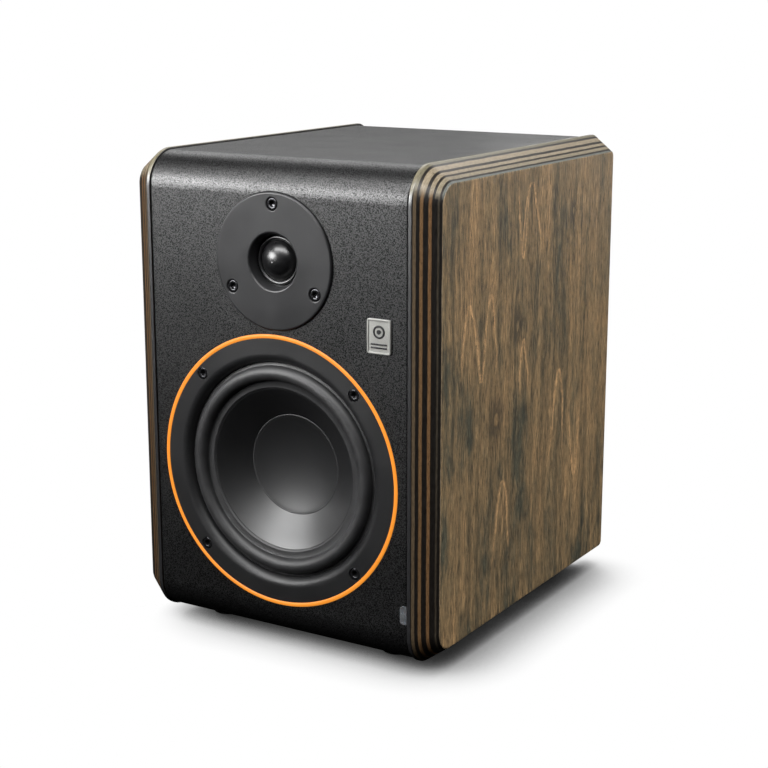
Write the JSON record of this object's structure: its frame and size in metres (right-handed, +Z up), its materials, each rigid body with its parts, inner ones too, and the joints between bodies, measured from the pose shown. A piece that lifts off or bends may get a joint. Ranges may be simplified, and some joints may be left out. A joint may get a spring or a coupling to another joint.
{
  "type": "bookshelf speaker",
  "caption": "Active bookshelf speaker: rounded black cabinet, bevelled plywood sides, woofer with coloured trim ring, dome tweeter, rear port and amplifier panel.",
  "frame": {"origin": "centre of the footprint, on the surface the feet stand on", "axes": "+X to the right seen from the front, +Y from the front to the back, +Z up"},
  "size_m": [0.194, 0.2283, 0.271],
  "materials": {
    "wrap_black": "matte fine-grained vinyl wrap",
    "stained_plywood": "satin clear coat over grey-brown stained birch plywood",
    "raw_board": "raw fibreboard and beech",
    "felt_grey": "matte felt",
    "rubber_black": "satin",
    "screw_black": "black oxide, semi-gloss",
    "badge_metal": "brushed",
    "light_pipe": "smoky translucent",
    "board_green": "solder mask",
    "frame_black": "matte powder coat",
    "trim_orange": "gloss",
    "foam_black": "foam",
    "cone_black": "satin coated paper",
    "spider_amber": "treated cloth",
    "coil_copper": "enamelled winding",
    "motor_steel": "zinc plated",
    "ferrite": "sintered, matte",
    "insulator": "phenolic board",
    "tweeter_plate": "satin moulded",
    "dome_fabric": "coated soft dome, semi-gloss",
    "port_black": "fine texture",
    "panel_black": "black anodised",
    "component_black": "moulded",
    "transformer_wrap": "polyester tape",
    "contact_metal": "nickel plated",
    "knob_black": "soft satin",
    "wire_black": "insulation",
    "wood_dowel": "beech"
  },
  "bodies": {
    "root": {"cabinet_wrap": "wrap_black", "side_panel_left": "stained_plywood", "side_panel_right": "stained_plywood", "side_panel_dowels": "wood_dowel", "rear_panel": "wrap_black", "shelf_brace": "raw_board", "damping_felt": "felt_grey", "rubber_feet": "rubber_black", "foot_screws": "screw_black", "badge_plate": "badge_metal", "status_light_pipe": "light_pipe", "status_light_board": "board_green", "woofer_frame": "frame_black", "woofer_trim_ring": "trim_orange", "woofer_gasket": "foam_black", "woofer_surround": "rubber_black", "woofer_spider": "spider_amber", "woofer_top_plate": "motor_steel", "woofer_magnet": "ferrite", "woofer_yoke": "motor_steel", "woofer_terminals": "insulator", "woofer_screws": "screw_black", "tweeter_faceplate": "tweeter_plate", "tweeter_gasket": "foam_black", "tweeter_surround": "dome_fabric", "tweeter_top_plate": "motor_steel", "tweeter_magnet": "ferrite", "tweeter_yoke": "motor_steel", "tweeter_terminals": "insulator", "tweeter_screws": "screw_black", "port_tube": "port_black", "amp_panel": "panel_black", "amp_screws": "screw_black", "heat_sink": "panel_black", "heat_bar": "panel_black", "power_chips": "component_black", "amp_board": "board_green", "board_standoffs": "contact_metal", "capacitors": "component_black", "transformer": "transformer_wrap", "transformer_clamp": "motor_steel", "transformer_bolt": "screw_black", "speaker_leads": "wire_black", "mains_inlet": "component_black", "inlet_pins": "contact_metal", "power_switch_frame": "component_black", "input_combo": "component_black", "phono_socket": "contact_metal", "control_pots": "component_black"},
    "woofer_cone_assembly": {"woofer_cone": "cone_black", "woofer_dust_cap": "cone_black", "woofer_voice_coil": "coil_copper"},
    "tweeter_dome_assembly": {"tweeter_dome": "dome_fabric", "tweeter_voice_coil": "coil_copper"},
    "power_rocker": {"power_switch_rocker": "component_black"},
    "volume_control": {"volume_knob": "knob_black", "volume_shaft": "contact_metal"},
    "treble_control": {"treble_knob": "knob_black"},
    "bass_control": {"bass_knob": "knob_black"},
    "release_tab": {"input_release_tab": "contact_metal"}
  },
  "joints": [
    {"name": "woofer_travel", "type": "slide", "parent": "root", "child": "woofer_cone_assembly", "axis": [0, -1, 0], "range_m": [-0.004, 0.004], "stiffness_N_per_m": 1000, "deforming": ["woofer_surround", "woofer_spider"]},
    {"name": "tweeter_travel", "type": "slide", "parent": "root", "child": "tweeter_dome_assembly", "axis": [0, -1, 0], "range_m": [-0.0003, 0.0003], "stiffness_N_per_m": 50, "deforming": ["tweeter_surround"]},
    {"name": "power_switch_tilt", "type": "hinge", "parent": "root", "child": "power_rocker", "pos_m": [0.006, 0.097, 0.046], "axis": [1, 0, 0], "range_deg": [-20, 0]},
    {"name": "volume_turn", "type": "hinge", "parent": "root", "child": "volume_control", "pos_m": [0.012, 0.105, 0.088], "axis": [0, 1, 0], "range_deg": [-150, 150]},
    {"name": "treble_turn", "type": "hinge", "parent": "root", "child": "treble_control", "pos_m": [-0.02, 0.105, 0.088], "axis": [0, 1, 0], "range_deg": [-140, 140]},
    {"name": "bass_turn", "type": "hinge", "parent": "root", "child": "bass_control", "pos_m": [-0.046, 0.105, 0.088], "axis": [0, 1, 0], "range_deg": [-140, 140]},
    {"name": "release_press", "type": "slide", "parent": "root", "child": "release_tab", "axis": [0, 0, -1], "range_m": [0, 0.0016], "stiffness_N_per_m": 20}
  ]
}
